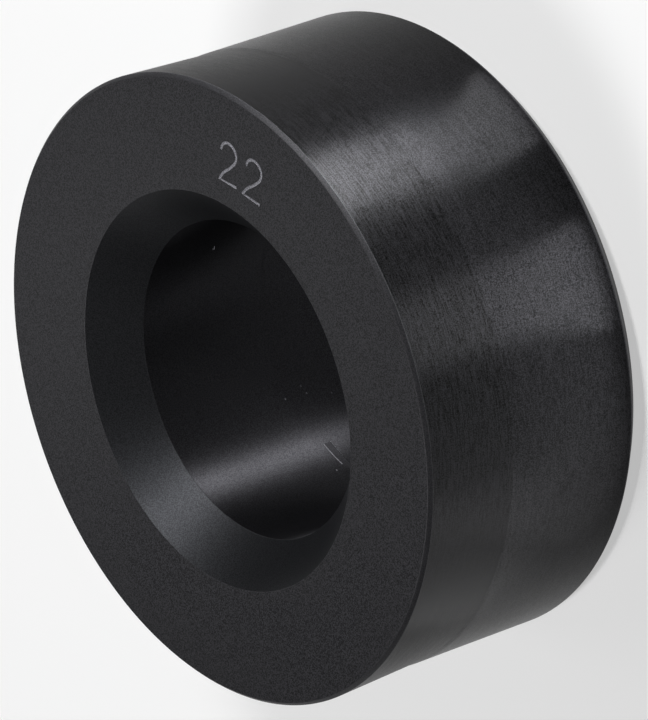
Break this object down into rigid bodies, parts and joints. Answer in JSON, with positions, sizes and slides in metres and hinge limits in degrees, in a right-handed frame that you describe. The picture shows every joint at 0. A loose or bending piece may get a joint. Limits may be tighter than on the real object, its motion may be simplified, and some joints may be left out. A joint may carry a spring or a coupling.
{
  "type": "guide bushing",
  "caption": "Thick steel guide bushing: a plain ring with a straight bore, a large lead-in cone on its front face, a press seat and a slightly tapered front band.",
  "frame": {"origin": "centre of the flat back face, on the axis of the bore", "axes": "+Z along the bore, from the back face towards the front face with the lead-in cone; the ring is the same all round, so X and Y are free"},
  "size_m": [0.0434, 0.0434, 0.0188],
  "materials": {
    "blackened_steel": "blackened hardened steel, fine matt on the faces and finely turned on the walls"
  },
  "bodies": {
    "root": {"guide_bushing": "blackened_steel"}
  },
  "joints": []
}
